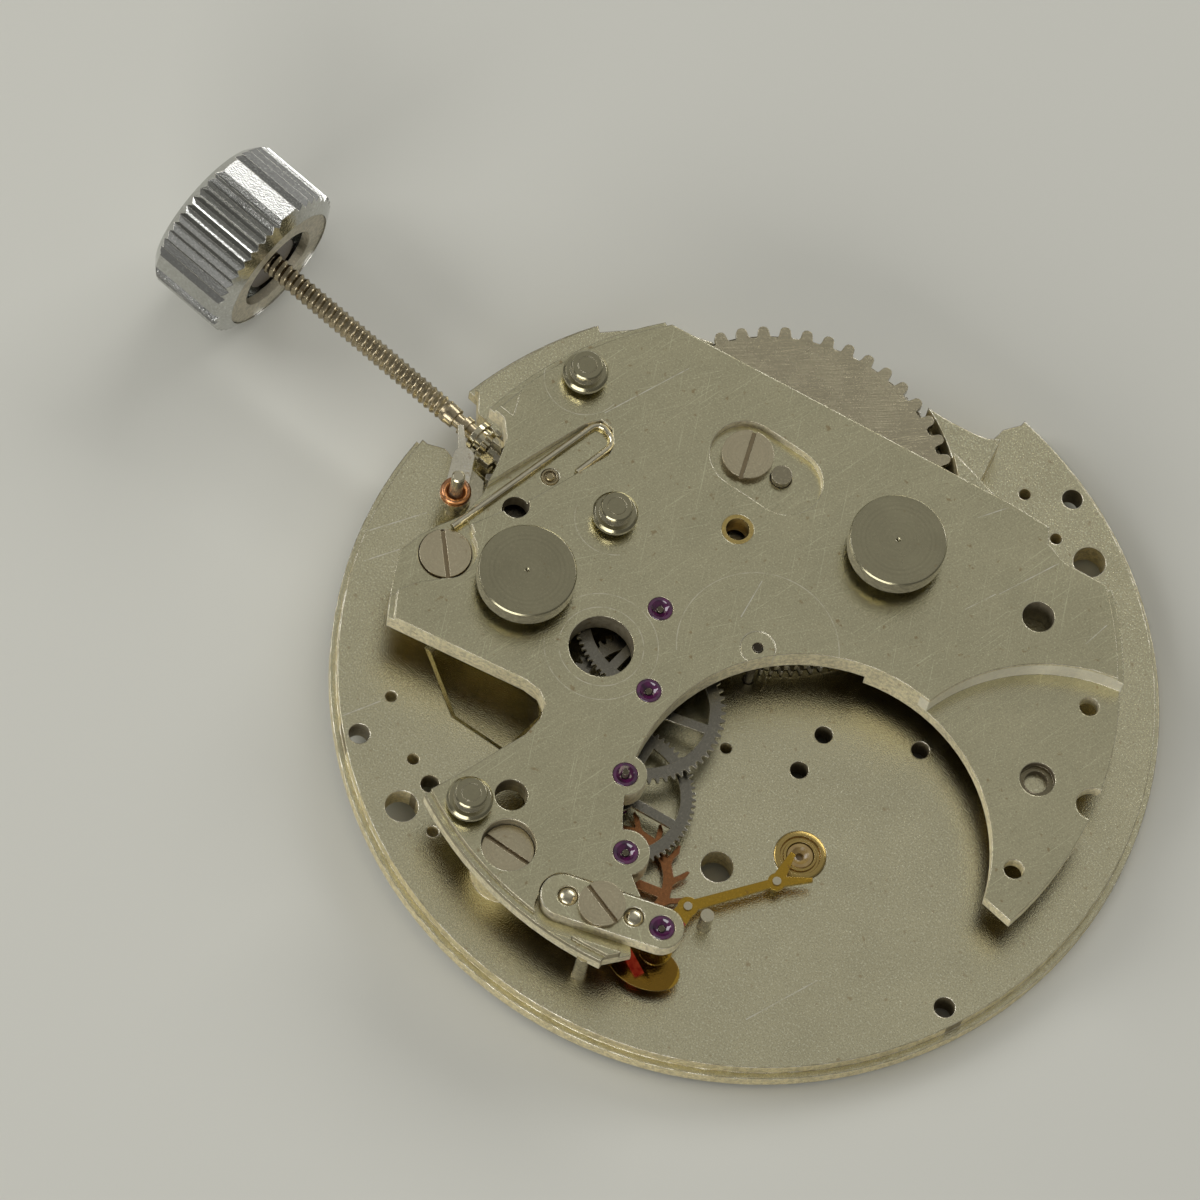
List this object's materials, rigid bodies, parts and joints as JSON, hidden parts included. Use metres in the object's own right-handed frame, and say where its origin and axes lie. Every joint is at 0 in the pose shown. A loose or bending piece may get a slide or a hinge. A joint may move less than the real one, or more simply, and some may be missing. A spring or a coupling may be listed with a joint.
{
  "type": "mechanical watch movement",
  "caption": "Hand-wound watch movement without its balance: plate, one-piece train bridge, going train, lever escapement parts, winding stem and fluted crown.",
  "frame": {"origin": "middle of the plate on the dial seat", "axes": "+Z towards the bridge side, +X out along the winding stem"},
  "size_m": [0.0427, 0.031, 0.0066],
  "materials": {
    "nickel_plate": "fine blasted nickel-plated brass",
    "nickel_bridge": "straight-brushed nickel-plated brass",
    "polished_steel": "turned and polished steel",
    "wheel_steel": "flat lapped steel-grey",
    "dark_steel": "hardened steel",
    "brass": "satin brass",
    "copper": "reddish copper alloy",
    "ruby": "polished synthetic ruby",
    "stone": "polished red stone",
    "chrome": "bright plating",
    "seal": "pale sealing ring"
  },
  "bodies": {
    "movement": {"main_plate": "nickel_plate", "train_bridge": "nickel_bridge", "pallet_cock": "nickel_bridge", "bridge_screws": "polished_steel", "pallet_cock_screw": "polished_steel", "barrel_screw": "polished_steel", "flat_head_posts": "polished_steel", "collared_posts": "polished_steel", "bridge_jewels": "ruby", "plate_jewels": "ruby", "pallet_jewel": "ruby", "centre_bushes": "nickel_bridge", "barrel_bush": "brass", "threaded_bush": "brass", "balance_setting": "brass", "balance_jewel": "ruby", "steady_pins": "polished_steel", "bridge_dowels": "polished_steel", "banking_post": "polished_steel", "crown_wheel_stud": "polished_steel", "click_stud": "polished_steel", "setting_lever_post": "polished_steel", "yoke_post": "polished_steel", "setting_lever_bush": "copper", "yoke_spring": "polished_steel", "click_spring": "dark_steel"},
    "barrel": {"barrel_drum": "brass", "barrel_cover": "brass"},
    "ratchet": {"barrel_arbor": "dark_steel", "ratchet_wheel": "wheel_steel", "mainspring": "dark_steel"},
    "crown_wheel": {"crown_wheel": "wheel_steel"},
    "second": {"second_pinion": "polished_steel", "second_wheel": "wheel_steel", "drive_wheel": "brass"},
    "third": {"third_pinion": "polished_steel", "third_wheel": "wheel_steel"},
    "fourth": {"fourth_pinion": "polished_steel", "fourth_wheel": "wheel_steel"},
    "escape": {"escape_pinion": "polished_steel", "escape_wheel": "copper"},
    "centre": {"centre_arbor": "polished_steel", "cannon_wheel": "brass"},
    "pallet": {"pallet_fork": "brass", "pallet_staff": "polished_steel", "pallet_stones": "stone", "fork_rivets": "polished_steel"},
    "click": {"click": "dark_steel"},
    "winding_pinion": {"winding_pinion": "polished_steel"},
    "stem": {"winding_stem": "polished_steel", "crown": "chrome", "crown_core": "copper", "crown_gasket": "seal"},
    "clutch": {"sliding_clutch": "polished_steel"},
    "lever": {"setting_lever": "polished_steel"},
    "yoke": {"yoke": "polished_steel"}
  },
  "joints": [
    {"name": "fourth_turn", "type": "hinge", "parent": "movement", "child": "fourth", "pos_m": [0.00026, 0.00711, 0.0019], "axis": [0, 0, 1], "continuous": true},
    {"name": "barrel_turn", "type": "hinge", "parent": "movement", "child": "barrel", "pos_m": [0.00391, -0.00594, 0.0015], "axis": [0, 0, 1], "continuous": true},
    {"name": "second_turn", "type": "hinge", "parent": "movement", "child": "second", "pos_m": [0.00363, 0.0013, 0.0028], "axis": [0, 0, 1], "continuous": true},
    {"name": "third_turn", "type": "hinge", "parent": "movement", "child": "third", "pos_m": [0.0018, 0.00405, 0.0024], "axis": [0, 0, 1], "continuous": true},
    {"name": "escape_turn", "type": "hinge", "parent": "movement", "child": "escape", "pos_m": [-0.00174, 0.00938, 0.0015], "axis": [0, 0, 1], "continuous": true},
    {"name": "centre_turn", "type": "hinge", "parent": "movement", "child": "centre", "pos_m": [0, 0, 0.002], "axis": [0, 0, 1], "continuous": true},
    {"name": "crown_turn", "type": "hinge", "parent": "movement", "child": "winding_pinion", "pos_m": [0.0126, 0, 0.002], "axis": [1, 0, 0], "continuous": true},
    {"name": "crown_wheel_turn", "type": "hinge", "parent": "movement", "child": "crown_wheel", "pos_m": [0.01015, 0, 0.0025], "axis": [0, 0, 1], "continuous": true},
    {"name": "ratchet_turn", "type": "hinge", "parent": "movement", "child": "ratchet", "pos_m": [0.00391, -0.00594, 0.0025], "axis": [0, 0, 1], "continuous": true},
    {"name": "pallet_swing", "type": "hinge", "parent": "movement", "child": "pallet", "pos_m": [-0.0046, 0.01068, 0.0017], "axis": [0, 0, 1], "range_deg": [0, 12]},
    {"name": "click_swing", "type": "hinge", "parent": "movement", "child": "click", "pos_m": [-0.00344, -0.00845, 0.0024], "axis": [0, 0, 1], "range_deg": [-8, 0]},
    {"name": "stem_pull", "type": "slide", "parent": "winding_pinion", "child": "stem", "axis": [1, 0, 0], "range_m": [0, 0.0005]},
    {"name": "clutch_shift", "type": "slide", "parent": "winding_pinion", "child": "clutch", "axis": [1, 0, 0], "range_m": [0, 0.0003]},
    {"name": "lever_swing", "type": "hinge", "parent": "movement", "child": "lever", "pos_m": [0.01248, 0.00256, 0.0026], "axis": [0, 0, 1], "range_deg": [0, 11.5]},
    {"name": "yoke_swing", "type": "hinge", "parent": "movement", "child": "yoke", "pos_m": [0.0113, 0.0036, 0.002], "axis": [0, 0, 1], "range_deg": [0, 6]}
  ],
  "couplings": [
    {"joint": "barrel_turn", "follows": "fourth_turn", "ratio": -0.0011696},
    {"joint": "second_turn", "follows": "fourth_turn", "ratio": 0.016667},
    {"joint": "third_turn", "follows": "fourth_turn", "ratio": -0.16667},
    {"joint": "escape_turn", "follows": "fourth_turn", "ratio": -10},
    {"joint": "centre_turn", "follows": "fourth_turn", "ratio": -0.016667},
    {"joint": "crown_wheel_turn", "follows": "crown_turn", "ratio": -0.375},
    {"joint": "ratchet_turn", "follows": "crown_turn", "ratio": 0.12245},
    {"joint": "clutch_shift", "follows": "stem_pull", "ratio": 0.6},
    {"joint": "lever_swing", "follows": "stem_pull", "rad_per_m": 390},
    {"joint": "yoke_swing", "follows": "stem_pull", "rad_per_m": 197}
  ]
}
